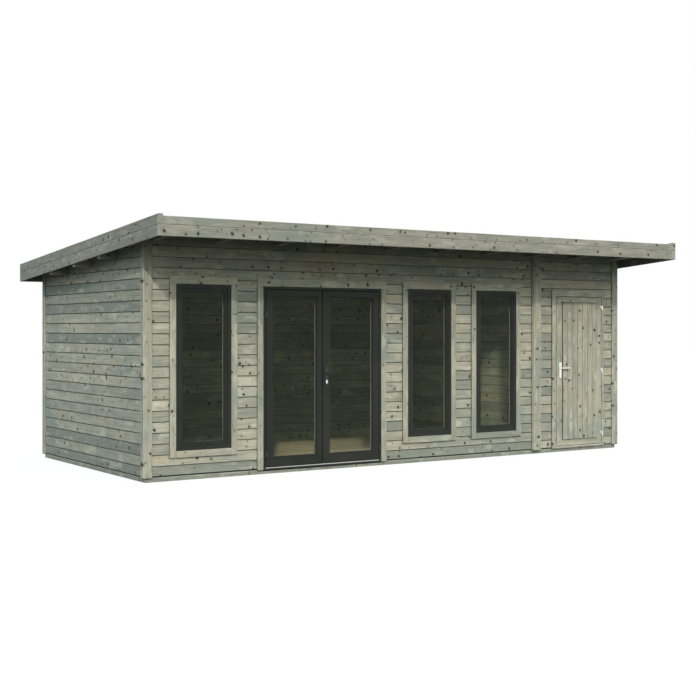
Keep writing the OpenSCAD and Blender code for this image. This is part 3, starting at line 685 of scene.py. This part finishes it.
jamb_w = 0.028
line_doorway("double_door_jambs", "double_door_frame", jamb_w, anthracite, "anthracite_frame")
head_h = 0.083
trim_doorway("double_door_trim", "double_door_trim", trim_w, trim_w, head_h)

threshold_metal, tree, shader = plain_finish("threshold aluminium", (0.72, 0.72, 0.70), 0.5, 1.0)
place = put(tree, "Mapping", {"Vector": put(tree, "TexCoord")["Object"],
                              "Scale": (4.0, 900.0, 900.0)})[0]
drawn = put(tree, "TexNoise", {"Vector": place, "Scale": 1.0, "Detail": 3.0})["Fac"]
feed(shader, {"Roughness": spread(tree, drawn, 0.3, 0.7, 0.3, 0.5),
              "Normal": bump(tree, 0.1, 0.0004, drawn)})
low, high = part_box("thresholds")
lining_t = 0.025
lip, lip_t, bed_in, bed_gap, ribs, groove = 0.016, 0.008, 0.004, 0.0005, 6, 0.003
bars, shade_bed, timber_bed = bmesh.new(), bmesh.new(), bmesh.new()
for x0, x1, y0, bed in ((door_low.x + jamb_w, door_high.x - jamb_w, door_low.y, shade_bed),
                        (store_low.x + lining_t, store_high.x - lining_t, low.y, timber_bed)):
    # A thin lip overhangs the front, above a bed that is set back in its shade; under the double
    # door the bed is black, as painted shade
    lay_board(bars, (x0, y0, high.z - lip_t), (x1, y0 + lip, high.z), 0, ease=0.0012)
    lay_board(bed, (x0, y0 + bed_in, low.z), (x1, y0 + lip - bed_gap, high.z - lip_t - bed_gap), 0,
              ease=thin_ease)
    step = (high.y - y0 - lip) / ribs
    for rib in range(ribs):
        y1 = y0 + lip + rib * step
        lay_board(bars, (x0, y1, low.z), (x1, y1 + step, high.z - groove * (rib % 2)), 0,
                  ease=0.0012)
show(bars, "threshold_bars", threshold_metal, "house", "threshold_metal", "thresholds")
show(shade_bed, "double_door_threshold_shade_bed", rubber, "house", "dark_fittings")
show(timber_bed, "store_threshold_bed", weathered, "house", "weathered_timber")

# Glazed door leaves
# Two outward leaves of coated profile: hinge stiles, wider meeting stiles, a top rail and
# a deeper bottom rail, with sloped beads that hold the double glazing.

for side in ("left", "right"):
    low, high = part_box(side + "_leaf")
    pane_low, pane_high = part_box(side + "_leaf_glass")
    leaf, panes, bars, seals = bmesh.new(), bmesh.new(), bmesh.new(), bmesh.new()
    ring_frame(leaf, low, high, (pane_low.x, pane_low.z), (pane_high.x, pane_high.z),
               bead=0.014, bead_drop=0.007, ease=0.003)
    glaze(panes, bars, seals, pane_low, pane_high)
    body = side + "_door"
    show(leaf, side + "_leaf_frame", anthracite, body, "anthracite_frame", side + "_leaf")
    show(panes, side + "_leaf_glass_sheets", glass, body, "glazing", side + "_leaf_glass")
    show(bars, side + "_leaf_spacer_bars", spacer_metal, body, "threshold_metal")
    show(seals, side + "_leaf_seals", rubber, body, "dark_fittings")

# Dark hinges and handle of the double door
# Lift-off hinges and a lever on a long plate, all in black coated steel. The lock
# cylinder below the lever is bare satin metal.

black, tree, shader = plain_finish("black coated steel", (0.020, 0.021, 0.022), 0.38)
feed(shader, {"Roughness": spread(tree, noise(tree, 500.0), 0.2, 0.8, 0.32, 0.46)})
satin, tree, shader = plain_finish("satin stainless steel", (0.86, 0.86, 0.84), 0.3, 1.0)
place = put(tree, "Mapping", {"Vector": put(tree, "TexCoord")["Object"],
                              "Scale": (900.0, 900.0, 20.0)})[0]
brushed = put(tree, "TexNoise", {"Vector": place, "Scale": 1.0, "Detail": 2.0})["Fac"]
feed(shader, {"Roughness": spread(tree, brushed, 0.25, 0.75, 0.24, 0.42)})


def coat(finish, *nodes):
    """Gives a finish to CAD nodes that are shown as they are."""
    for node in nodes:
        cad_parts[node].data.materials.clear()
        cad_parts[node].data.materials.append(finish)


def screw_hinges(name, ends, count, finish, body, slot):
    """Two screw heads near the end of each plate of a set of hinges."""
    knuckle_len, plate_t, screw_in, screw_apart = 0.028, 0.003, 0.006, 0.016
    low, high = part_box(name + "_hinges")
    heads = bmesh.new()
    for i in range(count):
        middle = low.z + knuckle_len / 2 + i * (high.z - low.z - knuckle_len) / (count - 1)
        for end in ends:
            x = low.x + screw_in if end == "left" else high.x - screw_in
            for z in (middle - screw_apart / 2, middle + screw_apart / 2):
                drive_screw(heads, (x, high.y - plate_t, z), (0, -1, 0), radius=0.0027)
    show(heads, name + "_hinge_screws", finish, body, slot)


def handle_plates(node, plate_finish, body, slot):
    """The two plates of a handle with eased corners, and the lock cylinder in each."""
    plate_w, plate_t, lock_z, lock_proud = 0.038, 0.008, 0.961, 0.003
    low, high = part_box(node)
    middle = (low.x + high.x) / 2
    plates, locks, keyways = bmesh.new(), bmesh.new(), bmesh.new()
    for face_y, out in ((low.y + lock_proud, -1), (high.y - lock_proud, 1)):
        ys = sorted((face_y, face_y - out * plate_t))
        slab = add_block(plates, (middle - plate_w / 2, ys[0], low.z),
                         (middle + plate_w / 2, ys[1], high.z))
        corners = {e for v in slab for e in v.link_edges
                   if abs(e.verts[0].co.y - e.verts[1].co.y) > 0.001}
        ease_edges(plates, corners, 0.010, 5)
        rim = {e for f in plates.faces if abs(f.normal.y - out) < 0.01
               and abs(f.calc_center_median().y - face_y) < 0.0005 for e in f.edges}
        ease_edges(plates, rim, 0.0018, 3)
        # The lock: an oval rose, and a round plug with a keyway in it
        turn = Matrix.Rotation(math.pi / 2 * -out, 4, "X")
        spot = Vector((middle, face_y, lock_z))
        for radius, tall, depth in ((0.0115, 1.9, 0.0012), (0.0085, 1.0, lock_proud)):
            place = Matrix.Translation(spot + Vector((0, out * depth / 2, 0)))
            plug = bmesh.ops.create_cone(
                locks, cap_ends=True, segments=40, radius1=radius, radius2=radius, depth=depth,
                matrix=place @ Matrix.Diagonal((1, 1, tall, 1)) @ turn)
            front = max((f for v in plug["verts"] for f in v.link_faces if len(f.verts) > 4),
                        key=lambda f: f.calc_center_median().y * out)
            ease_edges(locks, front.edges, 0.0005, 2)
        key_mid = spot + Vector((0, out * lock_proud, -0.001))
        key_size = Vector((0.0018, 0.0006, 0.009))
        add_block(keyways, key_mid - key_size / 2, key_mid + key_size / 2)
    show(plates, node + "_plates", plate_finish, body, slot, node)
    show(locks, node + "_locks", satin, body, "bright_fittings")
    show(keyways, node + "_keyways", rubber, body, "dark_fittings")


coat(black, "double_door_frame_hinges", "left_leaf_hinges", "right_leaf_hinges",
     "double_door_lever")
screw_hinges("double_door_frame", ("left", "right"), 2, black, "house", "dark_fittings")
screw_hinges("left_leaf", ("right",), 2, black, "left_door", "dark_fittings")
screw_hinges("right_leaf", ("left",), 2, black, "right_door", "dark_fittings")
handle_plates("double_door_handle", black, "right_door", "dark_fittings")

# Store door
# A boarded leaf hangs in a timber lining: stiles and rails, with upright boards nailed
# between them that stand out a little, V joints from board to board, and a drip bar on top.

line_doorway("store_door_lining_boards", "store_door_lining", lining_t, weathered,
             "weathered_timber")
right_trim_w = 0.040
trim_doorway("store_door_trim", "store_door_trim", trim_w, right_trim_w, head_h)

low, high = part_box("store_leaf")
panel_low, panel_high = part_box("store_leaf_panel")
leaf, slats, drip_bar = bmesh.new(), bmesh.new(), bmesh.new()
for x0, x1 in ((low.x, panel_low.x), (panel_high.x, high.x)):
    lay_board(leaf, (x0, low.y, low.z), (x1, high.y, high.z), 2, tone=dice.uniform(0.35, 0.65))
for z0, z1 in ((low.z, panel_low.z), (panel_high.z, high.z)):
    lay_board(leaf, (panel_low.x + board_gap, low.y, z0), (panel_high.x - board_gap, high.y, z1), 0,
              tone=dice.uniform(0.35, 0.65))
show(leaf, "store_leaf_timbers", weathered, "store_door", "weathered_timber", "store_leaf")
slat_count, slat_gap = 7, 0.0006
slat_w = (panel_high.x - panel_low.x) / slat_count
# The boards' side faces are painted dark, as painted shade in the joints and beside the stiles
for i in range(slat_count):
    x = panel_low.x + i * slat_w
    lay_board(slats, (x + slat_gap, panel_low.y, panel_low.z),
              (x + slat_w - slat_gap, panel_high.y, panel_high.z), 2, ease=0.004,
              tone=dice.uniform(0.2, 0.65), dirt=0.3, side_shade=0.7)
show(slats, "store_panel_boards", weathered, "store_door", "weathered_timber", "store_leaf_panel")
bar_h, bar_proud, bar_gap = 0.010, 0.014, 0.0003
lay_board(drip_bar, (panel_low.x, panel_low.y - bar_proud, panel_high.z + bar_gap),
          (panel_high.x, low.y - bar_gap, panel_high.z + bar_h), 0, ease=0.002, tone=0.65)
show(drip_bar, "store_drip_bar", weathered, "store_door", "weathered_timber")

# Bright hinges and handle of the store door
# Satin stainless lift-off hinges and a lever on a long plate.

coat(satin, "store_frame_hinges", "store_leaf_hinges", "store_door_lever")
screw_hinges("store_frame", ("right",), 3, satin, "house", "bright_fittings")
screw_hinges("store_leaf", ("left",), 3, satin, "store_door", "bright_fittings")
handle_plates("store_door_handle", satin, "store_door", "bright_fittings")

# Rafters and side blocks
# Upright rafters run from front to back and lie in notches of the walls. Short blocks
# at the sides carry the side fascias, and purlin ends show a little below them.

# Timber under the roof is unbleached, and its colours are darker and more olive still, as painted
# shade under the overhang
shaded_underside = timber_finish("shaded_underside timber", (0.20, 0.193, 0.095), (0.095, 0.09, 0.045),
                          (0.115, 0.115, 0.06), (0.145, 0.122, 0.06), (0.020, 0.019, 0.014))


def lay_sloped(piece, low, high, along, top, under, **look):
    """A board that follows the roof, from one depth below its surface down to another."""
    spare = Vector((0, 0, 0.2))
    lay_board(piece, Vector(low) - spare, Vector(high) + spare, along,
              cuts=[under_roof(top), (under_roof(under)[0], -roof_up)], **look)


rafter_w, rafter_h = 0.045, 0.095
first_rafter, rafter_step, store_rafters = 0.1175, 0.711, (5.8035, 6.5125)
rafter_lines = [half(first_rafter) + i * rafter_step for i in range(8)]
rafter_lines += [half(x) for x in store_rafters]
low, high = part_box("rafters")
rafters = bmesh.new()
for x in rafter_lines:
    lay_sloped(rafters, (x - rafter_w / 2, low.y, low.z), (x + rafter_w / 2, high.y, high.z), 1,
               deck_drop, deck_drop + rafter_h)
show(rafters, "rafter_timbers", weathered, "house", "weathered_timber", "rafters")

low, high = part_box("lookouts")
wall_front, wall_depth, inner_end = -1.190, 2.950, half(0.020)
for name, finish, tall, dirt, shares, nodes in (
        ("side_blocks", shaded_underside, 0.070, -0.3,
         [0.05 + i * 0.85 / 3 for i in range(4)], ["lookouts"]),
        ("side_purlin_ends", weathered, 0.194, 0.3,
         [0.239 + i * 0.244 for i in range(3)], [])):
    ends = bmesh.new()
    for share in shares:
        y = wall_front + wall_depth * share
        for x0, x1 in ((low.x, inner_end), (-inner_end, high.x)):
            lay_sloped(ends, (x0, y, low.z), (x1, y + rafter_w, high.z), 0, deck_drop,
                       deck_drop + tall, dirt=dirt)
    show(ends, name, finish, "house", "weathered_timber", *nodes)

# Roof boards and felt
# Tongued boards lie across the rafters, with their V joints seen from below, and are
# covered by strips of mineral felt that overlap down the slope.

low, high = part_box("roof_deck")
rows, felt_room, deck_under = 34, 0.0041, 0.022
step = (high.y - low.y) / rows
deck_boards = bmesh.new()
for row in range(rows):
    y0, y1 = low.y + row * step, low.y + (row + 1) * step
    lay_sloped(deck_boards, (low.x, y0 + board_gap, low.z), (high.x, y1 - board_gap, high.z), 0,
               felt_room, deck_under, dirt=0.6)
show(deck_boards, "roof_deck_boards", shaded_underside, "house", "weathered_timber", "roof_deck")

felt, tree, shader = plain_finish("mineral felt", (0.07, 0.072, 0.072), 0.95)
grit = put(tree, "TexVoronoi", {"Vector": put(tree, "TexCoord")["Object"], "Scale": 420.0})
speck = put(tree, "SeparateColor", {0: grit["Color"]})["Red"]
shades = blend_colour(tree, speck, (0.026, 0.027, 0.028, 1), (0.105, 0.107, 0.104, 1))
lift = put(tree, "Attribute", attribute_name="tone")["Fac"]
lift = spread(tree, lift, 0.0, 1.0, 0.80, 1.15)
lift = put(tree, "CombineColor", {0: lift, 1: lift, 2: lift})[0]
shades = blend_colour(tree, 1.0, shades, lift, "MULTIPLY")
worn = sums(tree, "MULTIPLY", spread(tree, noise(tree, 1.4, 5.0), 0.4, 0.7), 0.5)
feed(shader, {"Base Color": blend_colour(tree, worn, shades, (0.085, 0.085, 0.08, 1)),
              "Normal": bump(tree, 0.5, 0.001, grit["Distance"])})
bitumen, tree, shader = plain_finish("bitumen", (0.012, 0.012, 0.013), 0.4)
runs = noise(tree, 60.0, 3.0)
feed(shader, {"Roughness": spread(tree, runs, 0.3, 0.7, 0.25, 0.6),
              "Normal": bump(tree, 0.4, 0.002, runs)})

low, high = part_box("roof_felt")
strips, seams = bmesh.new(), bmesh.new()
strip_tones = (0.55, 0.2, 0.9, 0.4)
lap, lap_step, felt_under, felt_ease = 0.08, 0.0009, 0.0040, 0.0004
seam_w, seam_in, seam_rise, seam_under = 0.014, 0.004, 0.0007, 0.0036
step = (high.y - low.y) / len(strip_tones)
for row, strip_tone in enumerate(strip_tones):
    top = row * lap_step
    y0 = low.y + row * step
    y1 = min(y0 + step + lap, high.y)
    lay_sloped(strips, (low.x, y0, low.z), (high.x, y1, high.z), 0, top, felt_under,
               ease=felt_ease, tone=strip_tone)
    if y1 < high.y:
        y0 = y1 - seam_in
        lay_sloped(seams, (low.x, y0, low.z), (high.x, y0 + seam_w, high.z), 0,
                   top + lap_step - seam_rise, seam_under, ease=felt_ease)
show(strips, "roof_felt_strips", felt, "house", "roof_felt", "roof_felt")
show(seams, "roof_felt_seams", bitumen, "house", "roof_felt")

# Fascia boards and edge laths
# Two courses of planed boards close the roof's edge all round, with a shadow gap
# between them, and a lath holds the felt down along each side.

edge_wood = timber_finish("roof edge timber", (0.366, 0.359, 0.311), (0.148, 0.143, 0.121),
                          (0.17, 0.19, 0.178), (0.27, 0.24, 0.187), (0.013, 0.014, 0.012))
fascia_t = 0.020
# Their eased edges are painted paler, as wear and a painted highlight
edge_look = {"ease": 0.004, "tone": 0.475, "dirt": -0.35}
for node, top, under in (("upper_fascia", 0.0, 0.080), ("lower_fascia", 0.082, 0.190)):
    low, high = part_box(node)
    inner = fascia_t + trim_gap
    planks = bmesh.new()
    for y in (low.y, high.y - fascia_t):
        lay_sloped(planks, (low.x, y, low.z), (high.x, y + fascia_t, high.z), 0,
                   top, under, **edge_look)
    for x in (low.x, high.x - fascia_t):
        lay_sloped(planks, (x, low.y + inner, low.z), (x + fascia_t, high.y - inner, high.z), 1,
                   top, under, **edge_look)
    show(planks, node + "_boards", edge_wood, "house", "weathered_timber", node)

low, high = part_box("edge_laths")
lath_w, lath_h, lath_gap = 0.050, 0.020, 0.00005
laths = bmesh.new()
for x in (low.x, high.x - lath_w):
    lay_sloped(laths, (x, low.y, low.z), (x + lath_w, high.y, high.z), 1, -lath_h, -lath_gap)
show(laths, "edge_lath_timbers", edge_wood, "house", "weathered_timber", "edge_laths")

# Ground, light and camera
# A plain pale ground that keeps a soft shadow, the sun from the front left and a sky that
# is brighter in front, seen as white behind the house.


def seen_directly(tree):
    """Is 1 for what the camera sees, also in or through glass, and 0 for scattered light."""
    ray = put(tree, "LightPath")
    seen = sums(tree, "MAXIMUM", ray["Is Camera Ray"], ray["Is Transmission Ray"])
    seen = sums(tree, "MAXIMUM", seen, ray["Is Glossy Ray"])
    return sums(tree, "MULTIPLY", seen, sums(tree, "LESS_THAN", ray["Diffuse Depth"], 0.5))


ground_mesh = bmesh.new()
bmesh.ops.create_grid(ground_mesh, x_segments=1, y_segments=1, size=60)
sheet = bpy.data.meshes.new("ground")
ground_mesh.to_mesh(sheet)
ground_mesh.free()
ground = bpy.data.objects.new("ground", sheet)
bpy.context.scene.collection.objects.link(ground)
pale = bpy.data.materials.new("pale ground")
pale.use_nodes = True
tree = pale.node_tree
tree.nodes.remove(tree.nodes["Principled BSDF"])
matt = put(tree, "BsdfDiffuse", {"Color": (0.06, 0.06, 0.05, 1)})[0]
white = put(tree, "Emission", {"Color": (1, 1, 1, 1), "Strength": 1.0})[0]
lit = put(tree, "BsdfDiffuse", {"Color": (0.9, 0.9, 0.9, 1)})[0]
open_ground = put(tree, "MixShader", {0: 0.14, 1: white, 2: lit})[0]
shown = put(tree, "MixShader", {0: seen_directly(tree), 1: matt, 2: open_ground})[0]
feed(tree.nodes["Material Output"], {"Surface": shown})
sheet.materials.append(pale)

world = bpy.data.worlds.new("soft sky")
bpy.context.scene.world = world
world.use_nodes = True
tree = world.node_tree
toward = put(tree, "SeparateXYZ", {0: put(tree, "TexCoord")["Generated"]})
sky = blend_colour(tree, spread(tree, toward["Z"], 0.0, 0.5), (0.52, 0.58, 0.56, 1),
                   (1.52, 1.72, 1.80, 1))
open_side = blend_colour(tree, spread(tree, toward["Y"], 0.1, -0.8), (0.55, 0.645, 0.71, 1),
                         (1.62, 1.52, 1.37, 1))
sky = vectors(tree, "MULTIPLY", sky, open_side)
sky = blend_colour(tree, seen_directly(tree), sky, (1, 1, 1, 1))
feed(tree.nodes["Background"], {"Color": sky})

lamp = bpy.data.lights.new("soft lamp", "SUN")
lamp.energy = 1.49
lamp.color = (1.0, 0.92, 0.80)
lamp.angle = math.radians(1.5)
lamp_object = bpy.data.objects.new("soft lamp", lamp)
lamp_object.rotation_euler = Vector((-0.845, -1.37, 1.0)).to_track_quat("Z", "Y").to_euler()
bpy.context.scene.collection.objects.link(lamp_object)

lens = bpy.data.cameras.new("camera")
lens.lens = 62.48
lens.sensor_width = 36
lens.shift_y = -0.0265
camera = bpy.data.objects.new("camera", lens)
camera.location = (-8.2453, -12.3212, 1.53)
camera.rotation_euler = (math.radians(90), 0, math.radians(-33.5))
bpy.context.scene.collection.objects.link(camera)
bpy.context.scene.camera = camera
